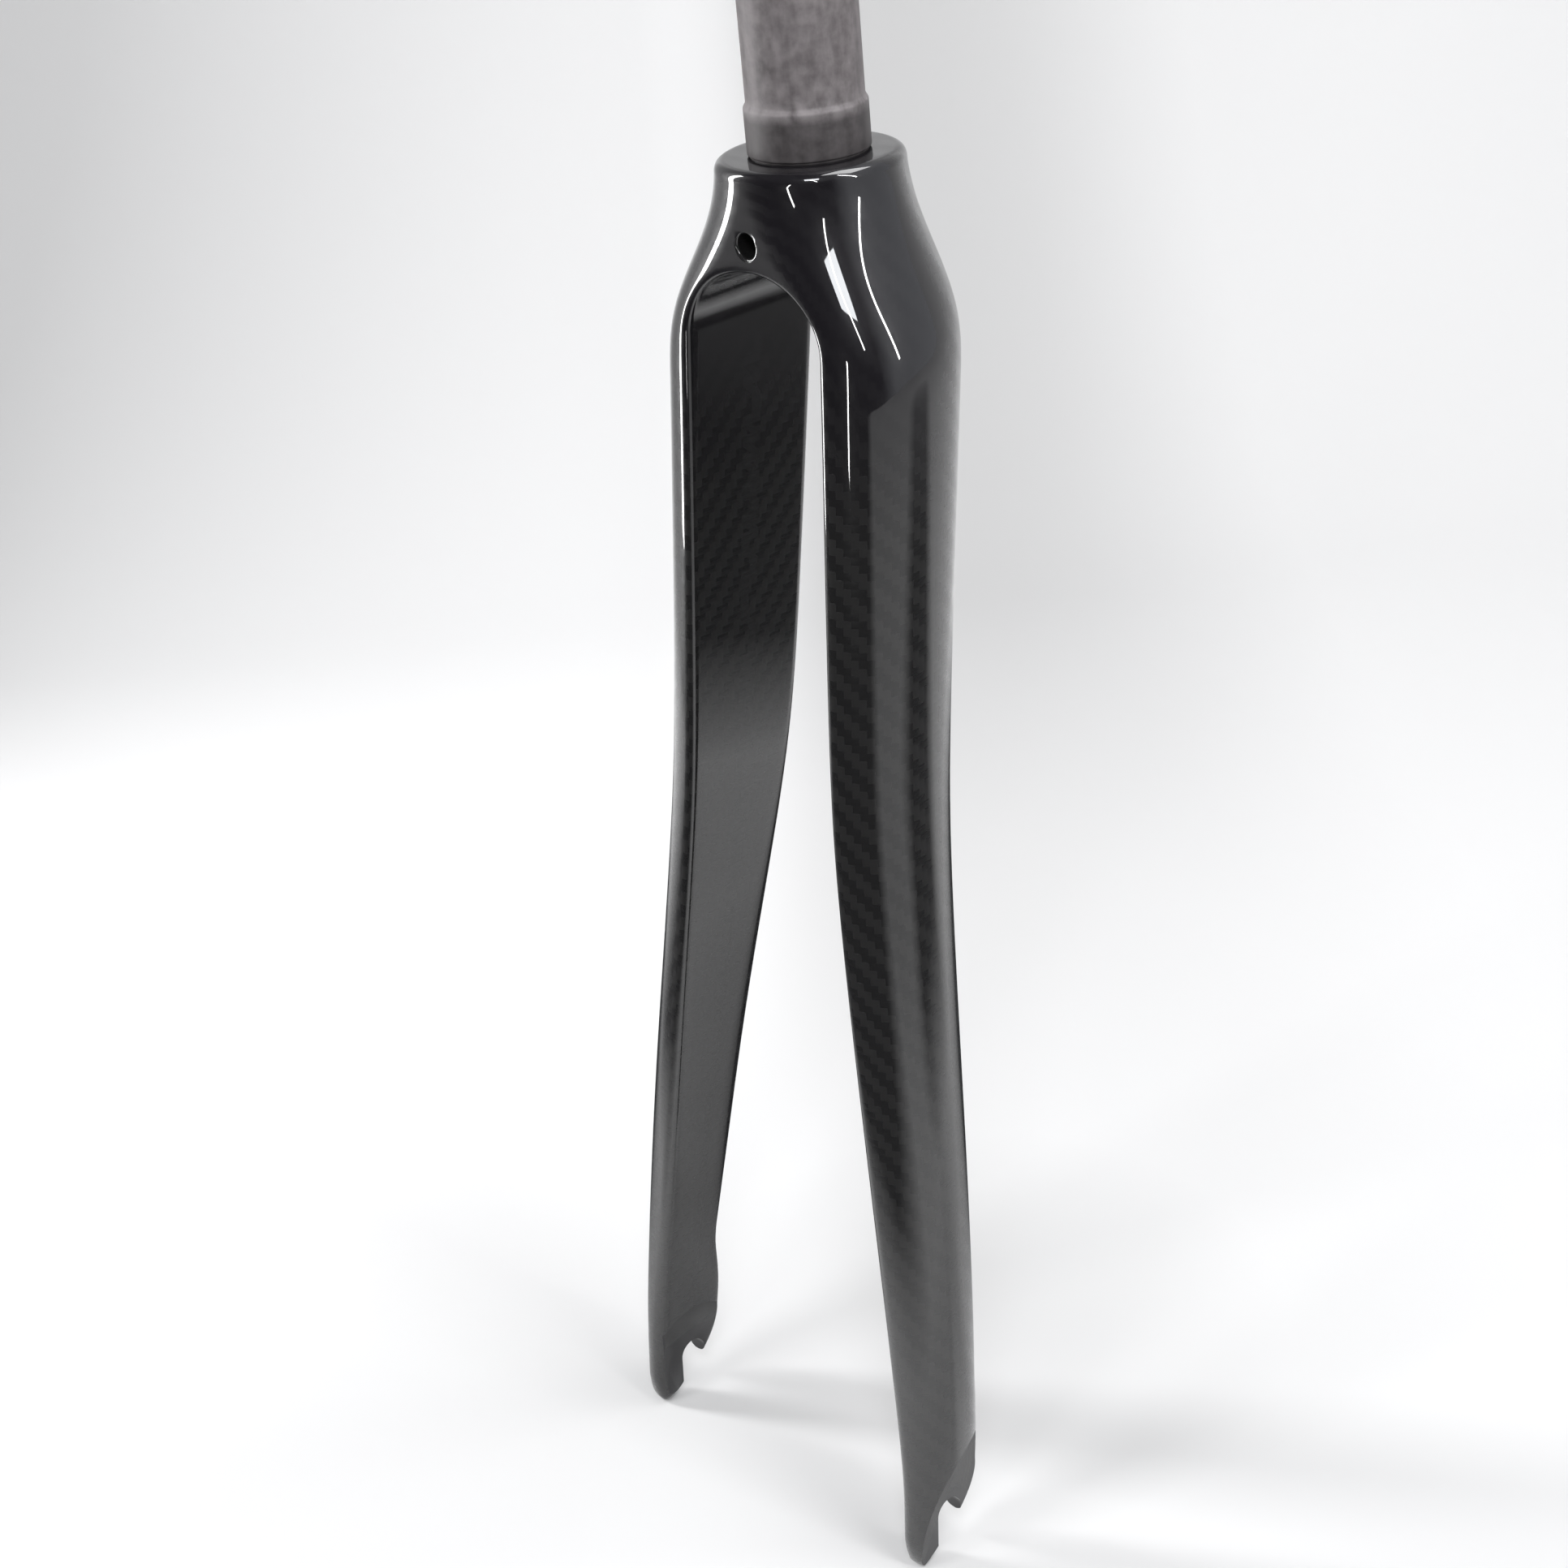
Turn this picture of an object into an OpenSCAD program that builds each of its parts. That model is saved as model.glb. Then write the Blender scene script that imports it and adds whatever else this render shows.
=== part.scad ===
// Road bicycle fork for a rim brake: a raw carbon steerer tube bonded into a moulded crown
// with two blades and moulded dropouts.
// Origin: where the steerer's axis meets the top of the crown. +Z runs up the steerer,
// -Y points forward, X lies across the wheel. All lengths are in millimetres.

/* [Steerer] */
// Outer diameter of the steerer tube
steerer_d = 28.6; // [25.4:0.1:31.8]
// Diameter of the hole along the steerer tube
steerer_bore_d = 22.6; // [16:0.1:24]
// Length of the uncut steerer above the crown
steerer_len = 300; // [120:1:350]
// Diameter of the crown race seat
race_seat_d = 30.0; // [28.8:0.1:33]
// Height of the crown race seat
race_seat_h = 11.5; // [5:0.5:14]
// Height of the chamfer above the race seat
race_chamfer_h = 1.2; // [0.4:0.1:3]
// Depth to which the steerer goes into the crown
socket_depth = 12; // [8:0.5:12.5]
// Gap all round for the glue between steerer and crown
glue_gap = 0.1; // [0.05:0.05:0.3]

/* [Crown] */
// Diameter of the round top of the crown
crown_d = 46.2; // [40:0.2:52]
// Radius of the edge round the crown's top
crown_rim_r = 2.5; // [0.5:0.25:3]
// Depth at which the crown has flared out to its blades
shoulder_h = 54.5; // [48:0.5:66]
// Depth of the top of the wheel arch
arch_top_h = 24.5; // [24:0.5:30]
// Depth at which the arch meets the straight inner faces
arch_spring_h = 42.5; // [38:0.5:56]
// Depth of the brake bolt's hole
brake_hole_h = 17.5; // [17.5:0.25:18]
// Diameter of the brake bolt's hole, at the front
brake_bolt_d = 6.2; // [5.2:0.1:7]
// Diameter of the hole for the brake's recessed nut, at the rear
brake_nut_d = 8.2; // [7.4:0.1:9]
// Length of the narrow front part of the brake hole
brake_bolt_len = 14; // [8:0.5:20]

/* [Blades] */
// Gap between the blades at the crown
tyre_gap = 45.4; // [40:0.2:60]
// Thickness of a blade across the wheel
blade_w = 17.3; // [14:0.1:22]
// How far the blade's front edge leans forward, from the crown to the axle
front_lean = 33.25; // [25:0.25:45]
// How far the front edge bows forward of its straight line, half way down
front_bow = 0.8; // [0:0.1:4]
// How far the blade's rear edge leans forward, from the crown to the axle
rear_lean = 54.75; // [45:0.25:60]
// Depth of the knee where the blades start to lean forward
knee_h = 21.5; // [15:0.5:40]
// Depth of the bend where the blades start to spread
bend_h = 162.5; // [120:0.5:220]
// Radius of the edges of the wheel arch and of the inner face in front
inner_edge_r = 2.5; // [1:0.25:4]
// Radius of the inner face's rear edge, low on the blade
inner_rear_r = 11; // [3:0.5:13]

/* [Dropouts] */
// Distance of the axle below the crown's top, along the steerer
axle_drop = 363.5; // [340:0.5:400]
// Distance of the axle in front of the steerer's axis
rake = 43; // [35:1:55]
// Distance between the inner faces of the dropouts
hub_width = 100; // [90:1:110]
// Thickness of a dropout where the quick release clamps
dropout_t = 6; // [4.5:0.25:8]
// Width of the axle slots
slot_w = 9.1; // [8.6:0.1:10.5]
// Angle at which the slots lean forward
slot_lean = 4; // [0:1:15]
// Radius of the flat seat for the hub's locknut
hub_seat_r = 17; // [12:0.5:22]
// Radius of the arc that bounds the recess for the quick release
recess_r = 38.5; // [36:0.5:42]
// Distance of that arc's centre behind the axle
recess_back = 26; // [24:0.5:28]
// Distance of that arc's centre below the axle
recess_below = 14; // [12:0.5:16]
// Slope of the recess's edge, as mm of radius per mm of depth
recess_slope = 1; // [0.5:0.1:2]
// Thickness of the blade just above the dropout
tip_w = 12; // [9:0.5:15]
// Thickness of the rounded end of the front lobe
lobe_w = 8; // [6:0.5:9]
// Length of the front lobe below the axle
lobe_below = 12.5; // [8:0.5:14]

/* [Hidden] */
$fn = 96;

crown_r = crown_d / 2;
arch_r = tyre_gap / 2;
arch_squash = (arch_spring_h - arch_top_h) / arch_r;
hub_half = hub_width / 2;
cut = 1; // what a cut reaches past the surface it cuts
tiny = 0.002;
halvings = 30;
// softness of the knee and of the spreading bend, in mm of depth
knee_soft = 19;
bend_soft = 27;
seat_soft = 1.6;
// slope of the inner faces above the bend, and where the inner faces reach the hub's width
upper_splay = 0.015;
seat_start_h = axle_drop - 14;
// share of the blade's depth, from the front, at which it is widest
widest_top = 0.5;
widest = 0.39;
// the flare starts this far above the crown's top, so that the crown's sides lean outwards at once
flare_lead = 4;
// the inner edge of the arch flares this much faster than the crown's sides
centre_lead = 1.08;
// rounded edges of the inner face: growth along the blade, and radius near the dropout
edge_start_h = bend_h - 50;
edge_run = 170;
front_tip_r = 3.5;
rear_tip_r = 4.5;
// largest share of a section's depth and thickness that a rounded edge takes
edge_share = 0.42;
edge_share_t = 0.8;
// how far the outer curve's centre moves off the inner face near the dropout
tip_centre = 2.5;
// depths that shape the blade's lower end
taper_h = axle_drop - 125;
tip_h = axle_drop - 12;
lobe_h = axle_drop + 3.5;
end_h = axle_drop + lobe_below;
lobe_y = -rake - 11;
end_power = 1.9;
round_h = end_h - 4;
round_middle = 0.45; // where the rounded end closes, as a share of the thickness
edge_low_h = axle_drop - 45;

function soft_ramp(d, k) = (d + sqrt(d * d + k * k)) / 2;
function clamp01(s) = min(1, max(0, s));
function ease(s) = let (c = clamp01(s)) c * c * c * (10 + c * (6 * c - 15));
function mix(a, b, s) = a + (b - a) * s;

// share of the forward lean that is reached at depth h: 0 at the top, 1 at the axle
function lean(h) =
    let (top = soft_ramp(-knee_h, knee_soft), low = soft_ramp(axle_drop - knee_h, knee_soft))
    (soft_ramp(h - knee_h, knee_soft) - top) / (low - top);

// how far the rounded rim at the crown's top draws in the outline at depth h
function rim(h) = h >= crown_rim_r ? 0 :
    crown_rim_r - sqrt(max(0, crown_rim_r * crown_rim_r - pow(crown_rim_r - max(0, h), 2)));

// inner face: parallel legs, then spreading to the hub's width, then upright at the dropout
function splay_at(h) = arch_r + upper_splay * (h - arch_spring_h) +
    spread * (soft_ramp(h - bend_h, bend_soft) - soft_ramp(arch_spring_h - bend_h, bend_soft));
spread = (hub_half - arch_r - upper_splay * (seat_start_h - arch_spring_h)) /
    (soft_ramp(seat_start_h - bend_h, bend_soft) - soft_ramp(arch_spring_h - bend_h, bend_soft));
function inner_x(h) = hub_half - soft_ramp(hub_half - splay_at(max(h, arch_spring_h)), seat_soft);

// the outline of a level section: widest point, centre of its outer curve, front, rear
function taper(h) = pow(clamp01((h - taper_h) / (tip_h - taper_h)), 2);
function thickness(h) = h < tip_h ?
    mix(blade_w, tip_w, taper(h)) :
    mix(tip_w, lobe_w, pow((h - tip_h) / (end_h - tip_h), 2));
function tip_round(h) = sqrt(max(0, 1 - pow(clamp01((h - round_h) / (end_h - round_h)), 2)));
function tip_x(h, x) = mix(inner_x(h) + round_middle * thickness(h), x, tip_round(h));
function tip_inner_x(h) = tip_x(h, inner_x(h));
function outer_x(h) = mix(crown_r, tip_x(h, inner_x(h) + thickness(h)), flare(h)) - rim(h);
function flare(h) =
    let (run = shoulder_h + flare_lead, top = ease(flare_lead / run))
    (ease((h + flare_lead) / run) - top) / (1 - top);
function centre_x(h) = tip_x(h, inner_x(h) * flare(h * centre_lead) + tip_centre * taper(h));
function bow(h) = pow(sin(180 * clamp01(h / axle_drop)), 2);
function front_y(h) = -crown_r - front_lean * lean(h) - front_bow * bow(h) + rim(h);
function rear_y(h) = crown_r - rear_lean * lean(h) - rim(h);

// the blade's lower end is rounded off in side view: a long front lobe, a short rear one
function end_front_y(h) = h <= lobe_h ? front_y(h) :
    lobe_y + (front_y(lobe_h) - lobe_y) * sqrt(max(0, 1 - pow((h - lobe_h) / (end_h - lobe_h), 2)));
function end_rear_y(h) = h <= tip_h ? rear_y(h) :
    let (u = (h - tip_h) / (end_h - tip_h))
    lobe_y + (rear_y(tip_h) - lobe_y) * pow(max(0, 1 - u * u), end_power / 2);
function middle_y(h) = mix(end_front_y(h), end_rear_y(h), mix(widest_top, widest, flare(h)));

// y of the surface at (x, h); limit_y is the front or the rear at that depth
function surface_y(x, h, limit_y) =
    let (c = centre_x(h), u = clamp01((abs(x) - c) / (outer_x(h) - c)))
    middle_y(h) + (limit_y - middle_y(h)) * sqrt(max(0, 1 - u * u));

// radius of the inner edges at depth h
function front_edge_r(h) = mix(inner_edge_r, front_tip_r, ease((h - bend_h) / (axle_drop - bend_h)));
function rear_edge_r(h) = h < edge_low_h ?
    mix(inner_edge_r, inner_rear_r, ease((h - edge_start_h) / edge_run)) :
    mix(inner_rear_r, rear_tip_r, ease((h - edge_low_h) / (tip_h - edge_low_h)));

// a cutting plane holds the points [side * t * dx, h0 - t * dh] for t from t0 outwards
function fan_plane(a) = [1, cos(a), arch_spring_h, arch_squash * sin(a), arch_r];
function level_plane(h, side) = [side, 1, h, 0, tip_inner_x(h)];
function plane_x(p, t) = p[0] * p[1] * t;
function plane_h(p, t) = p[2] - p[3] * t;
function outer_t(p) = p[3] == 0 ? outer_x(p[2]) :
    let (top = p[2] / p[3]) abs(plane_x(p, top)) < top_r + tiny ? top : find_t(p, p[4], top, halvings);
function find_t(p, lo, hi, n) = n == 0 ? (lo + hi) / 2 :
    let (m = (lo + hi) / 2)
    abs(plane_x(p, m)) < outer_x(plane_h(p, m)) ? find_t(p, m, hi, n - 1) : find_t(p, lo, m, n - 1);
top_r = crown_r - crown_rim_r;
function is_cut(p) = p[3] > 0 && abs(plane_x(p, p[2] / p[3])) < top_r - tiny;

function bezier(a, b, c, s) = a * (1 - s) * (1 - s) + b * 2 * s * (1 - s) + c * s * s;

// one half of a section, from the middle of the inner face to the outermost point
edge_steps = 4;
side_steps = 10;
function half_section(p, front) =
    let (t0 = p[4], t1 = outer_t(p), h0 = plane_h(p, t0),
        y = function(t) let (h = plane_h(p, t))
            surface_y(plane_x(p, t), h, front ? end_front_y(h) : end_rear_y(h)),
        r_max = min(edge_share * abs(end_rear_y(h0) - end_front_y(h0)), edge_share_t * (t1 - t0)),
        r = min(r_max, front ? front_edge_r(h0) : rear_edge_r(h0)),
        inward = front ? 1 : -1,
        a0 = asin(r / (t1 - t0)))
    concat(
        [for (i = [0:edge_steps]) bezier([t0, y(t0) + inward * r], [t0, y(t0)], [t0 + r, y(t0 + r)],
            i / edge_steps)],
        [for (i = [1:side_steps]) let (t = t0 + (t1 - t0) * sin(mix(a0, 90, i / side_steps))) [t, y(t)]]);
function reversed(v) = [for (i = [len(v) - 1:-1:0]) v[i]];
function section(p) = let (
    f = half_section(p, true), r = half_section(p, false),
    ring = concat(reversed(r), [(f[0] + r[0]) / 2], f))
    [for (i = [0:len(ring) - (is_cut(p) ? 1 : 2)])
        [plane_x(p, ring[i][0]), ring[i][1], -plane_h(p, ring[i][0])]];

// planes from one tip over the crown to the other tip
rim_steps = 8;
arch_steps = 9;
blade_steps = 20;
blade_power = 1.2; // the planes lie closer together towards the dropout
end_steps = 8;
end_angle = 86; // where the rounding of the lower end stops
rim_angle = atan2(arch_spring_h, arch_squash * top_r);
fan_angles = concat(
    [for (i = [0:rim_steps]) atan2(arch_spring_h, arch_squash * top_r * sin(90 * i / rim_steps))],
    [for (i = [1:arch_steps]) rim_angle * (1 - i / arch_steps)]);
blade_depths = concat(
    [for (i = [1:blade_steps]) mix(tip_h, arch_spring_h, pow(1 - i / blade_steps, blade_power))],
    [for (i = [1:end_steps]) mix(tip_h, end_h, sin(end_angle * i / end_steps))]);
half_planes = concat(
    [for (h = reversed(blade_depths)) level_plane(h, 1)],
    reversed([for (a = fan_angles) if (a < 90 - tiny) fan_plane(a)]));
function mirrored(p) = [-p[0], p[1], p[2], p[3], p[4]];
planes = concat(half_planes, [fan_plane(90)], [for (p = reversed(half_planes)) mirrored(p)]);

module blade_loft() {
    rings = [for (p = planes) section(p)];
    count = [for (r = rings) len(r)];
    start = [for (i = 0, s = 0; i < len(rings); s = s + count[i], i = i + 1) s];
    n = max(count);
    last = len(rings) - 1;
    points = [for (r = rings) each r];
    function at(k, j) = start[k] + j % count[k];
    skin = [for (k = [0:last - 1], j = [0:n - 2]) [at(k, j), at(k + 1, j), at(k + 1, j + 1), at(k, j + 1)]];
    top = [for (k = [0:last - 1]) if (count[k] == n || count[k + 1] == n)
        count[k] < n ? [at(k, 0), at(k + 1, n - 1), at(k + 1, 0)] :
        count[k + 1] < n ? [at(k, n - 1), at(k + 1, 0), at(k, 0)] :
        [at(k, n - 1), at(k + 1, n - 1), at(k + 1, 0), at(k, 0)]];
    ends = [[for (j = [0:count[0] - 1]) at(0, j)], [for (j = [count[last] - 1:-1:0]) at(last, j)]];
    polyhedron(points, concat(skin, top, ends), convexity = 6);
}

module brake_hole() {
    translate([0, -crown_r - 2 * brake_bolt_len, -brake_hole_h])
        rotate([-90, 0, 0])
            cylinder(d = brake_bolt_d, h = 3 * brake_bolt_len + crown_r);
    translate([0, front_y(brake_hole_h) + brake_bolt_len, -brake_hole_h])
        rotate([-90, 0, 0])
            cylinder(d = brake_nut_d, h = crown_d);
}

// what the hub, the axle and the quick release take out of one dropout
module dropout_cuts() {
    translate([0, -rake, -axle_drop]) {
        translate([hub_half - blade_w, 0, 0])
            rotate([0, 90, 0])
                cylinder(r = hub_seat_r, h = blade_w);
        translate([hub_half + dropout_t, recess_back, -recess_below])
            rotate([0, 90, 0])
                cylinder(r1 = recess_r, r2 = recess_r + recess_slope * blade_w, h = blade_w);
        translate([hub_half - cut, 0, 0])
            rotate([0, 90, 0])
                cylinder(d = slot_w, h = blade_w);
        rotate([-slot_lean, 0, 0])
            translate([hub_half - cut, -slot_w / 2, -2 * hub_seat_r])
                cube([blade_w, slot_w, 2 * hub_seat_r]);
    }
}

module steerer() {
    color([0.33, 0.31, 0.30])
        rotate_extrude()
            polygon([
                [steerer_bore_d / 2, -socket_depth],
                [steerer_d / 2, -socket_depth],
                [steerer_d / 2, 0],
                [race_seat_d / 2, 0],
                [race_seat_d / 2, race_seat_h],
                [steerer_d / 2, race_seat_h + race_chamfer_h],
                [steerer_d / 2, steerer_len],
                [steerer_bore_d / 2, steerer_len]]);
}

module crown_and_blades() {
    color([0.03, 0.03, 0.035])
        difference() {
            blade_loft();
            translate([0, 0, -socket_depth])
                cylinder(d = steerer_d + 2 * glue_gap, h = socket_depth + cut);
            brake_hole();
            dropout_cuts();
            mirror([1, 0, 0])
                dropout_cuts();
        }
}

steerer();
crown_and_blades();
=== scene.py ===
import math
from functools import cache
from types import SimpleNamespace

import bmesh
import bpy
import numpy as np
from mathutils import Matrix, Vector


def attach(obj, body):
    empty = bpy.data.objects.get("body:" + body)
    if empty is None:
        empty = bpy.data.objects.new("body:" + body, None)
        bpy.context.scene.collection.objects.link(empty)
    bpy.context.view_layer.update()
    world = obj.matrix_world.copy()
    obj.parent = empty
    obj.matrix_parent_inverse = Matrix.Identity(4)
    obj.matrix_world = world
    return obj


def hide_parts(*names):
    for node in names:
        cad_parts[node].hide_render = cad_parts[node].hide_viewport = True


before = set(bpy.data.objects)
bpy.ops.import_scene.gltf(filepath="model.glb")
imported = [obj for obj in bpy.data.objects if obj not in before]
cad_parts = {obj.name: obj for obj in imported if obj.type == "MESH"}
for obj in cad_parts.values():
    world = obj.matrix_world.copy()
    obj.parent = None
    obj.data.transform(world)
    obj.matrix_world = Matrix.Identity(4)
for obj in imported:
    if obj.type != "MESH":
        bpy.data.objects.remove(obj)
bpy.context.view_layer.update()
scene = bpy.context.scene
mm = 0.001
print("stage: the frame is in")

# the camera, at the photograph's place and angle
cameraAt = {
    "place": (0.44054, -0.42159, 0.13988),
    "right": (0.69593, 0.71282, -0.08701),
    "up": (-0.26974, 0.37177, 0.88827),
    "back": (0.66552, -0.59471, 0.45100),
    "lens": 58.35,
}


def placeCamera(at):
    data = bpy.data.cameras.new("camera")
    data.sensor_width = 36.0
    data.lens = at["lens"]
    data.clip_start = 0.02
    data.clip_end = 50.0
    camera = bpy.data.objects.new("camera", data)
    scene.collection.objects.link(camera)
    turn = Matrix((at["right"], at["up"], at["back"])).transposed()
    camera.matrix_world = Matrix.Translation(at["place"]) @ turn.to_4x4()
    scene.camera = camera


placeCamera(cameraAt)
print("stage: the camera stands")


# arithmetic on node sockets, so that the shape's rule reads as plain sums
class Field:
    def __init__(self, socket):
        self.socket = socket

    def __add__(self, other):
        return calc("ADD", self, other)

    def __sub__(self, other):
        return calc("SUBTRACT", self, other)

    def __mul__(self, other):
        return calc("MULTIPLY", self, other)

    def __truediv__(self, other):
        return calc("DIVIDE", self, other)

    def __rsub__(self, other):
        return calc("SUBTRACT", other, self)

    def __neg__(self):
        return calc("MULTIPLY", self, -1.0)

    __radd__ = __add__
    __rmul__ = __mul__


tree = None


def calc(operation, *values):
    node = tree.nodes.new("ShaderNodeMath")
    node.operation = operation
    for slot, value in zip(node.inputs, values):
        if isinstance(value, Field):
            tree.links.new(value.socket, slot)
        else:
            slot.default_value = value
    return Field(node.outputs[0])


def root(a):
    return calc("SQRT", calc("MAXIMUM", a, 0.0))


def sine(a):
    return calc("SINE", a)


def cosine(a):
    return calc("COSINE", a)


def least(a, b):
    return calc("MINIMUM", a, b)


def greatest(a, b):
    return calc("MAXIMUM", a, b)


def above(a, b):
    return calc("GREATER_THAN", a, b)


def clamp01(a):
    return least(greatest(a, 0.0), 1.0)


def mix(a, b, share):
    return a + (b - a) * share


def softRamp(d, soft):
    return (d + root(d * d + soft * soft)) * 0.5


def ease(a):
    c = clamp01(a)
    return c * c * c * ((c * 6.0 - 15.0) * c + 10.0)


# crown and blades: one moulding, drawn by one rule from these sizes in millimetres
forkSizes = {
    "crownRadius": 23.1,
    "rimRadius": 2.5,
    "shoulderDepth": 54.5,
    "flareLead": 4.0,
    "centreLead": 1.08,
    "archTop": 24.5,
    "archSpring": 42.5,
    "archRadius": 22.7,
    "bladeWidth": 17.3,
    "frontLean": 33.22,
    "frontBow": 0.8,
    "rearLean": 54.75,
    "kneeDepth": 21.5,
    "kneeSoft": 19.0,
    "bendDepth": 162.5,
    "bendSoft": 27.0,
    "upperSplay": 0.015,
    "axleDrop": 363.5,
    "hubHalf": 50.0,
    "seatStart": 349.5,
    "seatSoft": 1.6,
    "widestTop": 0.5,
    "widest": 0.39,
    "taperDepth": 238.5,
    "tipDepth": 351.5,
    "tipWidth": 11.9,
    "tipCentre": 2.5,
    "lobeDepth": 367.0,
    "lobeWidth": 8.0,
    "lobeY": -54.0,
    "endDepth": 375.93,
    "endPower": 0.95,
    "roundDepth": 372.0,
    "roundMiddle": 0.45,
    "innerEdge": 2.5,
    "innerRear": 11.0,
    "frontTip": 3.5,
    "rearTip": 4.5,
    "edgeStart": 112.5,
    "edgeRun": 170.0,
    "edgeLow": 318.5,
    "edgeShare": 0.42,
    "edgeShareAcross": 0.8,
}
rings = {"top": 10, "rim": 10, "side": 30, "blade": 120, "end": 20}
loop = {"flat": 6, "edge": 8, "side": 30, "strip": 4}
ringHalf = sum(rings.values())
loopHalf = sum(loop.values())


def forkTree(sizes):
    global tree
    tree = bpy.data.node_groups.new("forkShape", "GeometryNodeTree")
    face = tree.interface
    face.new_socket(name="Geometry", in_out="INPUT", socket_type="NodeSocketGeometry")
    face.new_socket(name="Geometry", in_out="OUTPUT", socket_type="NodeSocketGeometry")
    for name, value in sizes.items():
        socket = face.new_socket(name=name, in_out="INPUT", socket_type="NodeSocketFloat")
        socket.default_value = value
    face.new_socket(name="material", in_out="INPUT", socket_type="NodeSocketMaterial")
    entry = tree.nodes.new("NodeGroupInput")
    p = SimpleNamespace(**{name: Field(entry.outputs[name]) for name in sizes})

    @cache
    def lean(h):
        top = softRamp(-p.kneeDepth, p.kneeSoft)
        low = softRamp(p.axleDrop - p.kneeDepth, p.kneeSoft)
        return (softRamp(h - p.kneeDepth, p.kneeSoft) - top) / (low - top)

    @cache
    def rim(h):
        d = greatest(p.rimRadius - greatest(h, 0.0), 0.0)
        return p.rimRadius - root(p.rimRadius * p.rimRadius - d * d)

    bendStart = softRamp(p.archSpring - p.bendDepth, p.bendSoft)
    drift = p.upperSplay * (p.seatStart - p.archSpring)
    spread = (p.hubHalf - p.archRadius - drift) / (
        softRamp(p.seatStart - p.bendDepth, p.bendSoft) - bendStart
    )

    @cache
    def innerX(h):
        d = greatest(h, p.archSpring)
        splay = p.archRadius + p.upperSplay * (d - p.archSpring)
        splay = splay + spread * (softRamp(d - p.bendDepth, p.bendSoft) - bendStart)
        return p.hubHalf - softRamp(p.hubHalf - splay, p.seatSoft)

    @cache
    def taper(h):
        c = clamp01((h - p.taperDepth) / (p.tipDepth - p.taperDepth))
        return c * c

    @cache
    def lobe(h):
        return clamp01((h - p.tipDepth) / (p.endDepth - p.tipDepth))

    @cache
    def thickness(h):
        c = lobe(h)
        return mix(p.bladeWidth, p.tipWidth, taper(h)) + (p.lobeWidth - p.tipWidth) * c * c

    @cache
    def flare(h):
        run = p.shoulderDepth + p.flareLead
        top = ease(p.flareLead / run)
        return (ease((h + p.flareLead) / run) - top) / (1.0 - top)

    @cache
    def tipRound(h):
        c = clamp01((h - p.roundDepth) / (p.endDepth - p.roundDepth))
        return root(1.0 - c * c)

    def tipX(h, x):
        return mix(innerX(h) + p.roundMiddle * thickness(h), x, tipRound(h))

    @cache
    def outerX(h):
        return mix(p.crownRadius, tipX(h, innerX(h) + thickness(h)), flare(h)) - rim(h)

    @cache
    def centreX(h):
        return tipX(h, innerX(h) * flare(h * p.centreLead) + p.tipCentre * taper(h))

    @cache
    def frontY(h):
        bow = sine(clamp01(h / p.axleDrop) * math.pi)
        d = least(h, p.lobeDepth)
        front = rim(h) - p.crownRadius - p.frontLean * lean(d) - p.frontBow * bow * bow
        c = clamp01((h - p.lobeDepth) / (p.endDepth - p.lobeDepth))
        return p.lobeY + (front - p.lobeY) * root(1.0 - c * c)

    @cache
    def rearY(h):
        rear = p.crownRadius - p.rearLean * lean(least(h, p.tipDepth)) - rim(h)
        c = lobe(h)
        return p.lobeY + (rear - p.lobeY) * calc("POWER", greatest(1.0 - c * c, 0.0), p.endPower)

    @cache
    def middleY(h):
        return mix(frontY(h), rearY(h), mix(p.widestTop, p.widest, flare(h)))

    place = tree.nodes.new("GeometryNodeInputPosition")
    parts = tree.nodes.new("ShaderNodeSeparateXYZ")
    tree.links.new(place.outputs[0], parts.inputs[0])
    ring = calc("ROUND", Field(parts.outputs[0]) * (2.0 * ringHalf))
    step = calc("ROUND", (Field(parts.outputs[1]) + 0.5) * (2.0 * loopHalf))
    side = calc("SIGN", ring)
    n = calc("ABSOLUTE", ring)
    isFront = above(loopHalf + 0.5, step)
    g = isFront * step + (1.0 - isFront) * (2.0 * loopHalf - step)
    inward = isFront * 2.0 - 1.0

    def limitY(h):
        return mix(rearY(h), frontY(h), isFront)

    def surfaceY(x, h):
        c = centreX(h)
        u = clamp01((x - c) / (outerX(h) - c))
        middle = middleY(h)
        return middle + (limitY(h) - middle) * root(1.0 - u * u)

    # the inner and the outer end of each ring
    quarter = math.pi / 2
    crownRings = rings["top"] + rings["rim"] + rings["side"]
    arch = clamp01(n / crownRings) * quarter
    rimTurn = clamp01((n - rings["top"]) / rings["rim"]) * quarter
    sideShare = clamp01((n - rings["top"] - rings["rim"]) / rings["side"])
    bladeShare = clamp01((n - crownRings) / rings["blade"])
    endTurn = clamp01((n - crownRings - rings["blade"]) / rings["end"]) * quarter
    bladeH = mix(p.archSpring, p.tipDepth, bladeShare) + (p.endDepth - p.tipDepth) * sine(endTurn)
    inH = bladeH - (p.archSpring - p.archTop) * cosine(arch)
    inX = tipX(bladeH, innerX(bladeH)) * sine(arch)
    rimH = p.rimRadius * (1.0 - cosine(rimTurn))
    outH = rimH + (p.archSpring - p.rimRadius) * sideShare + bladeH - p.archSpring
    outX = outerX(outH) * clamp01(n / rings["top"])
    across = root((outX - inX) * (outX - inX) + (outH - inH) * (outH - inH))

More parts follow.
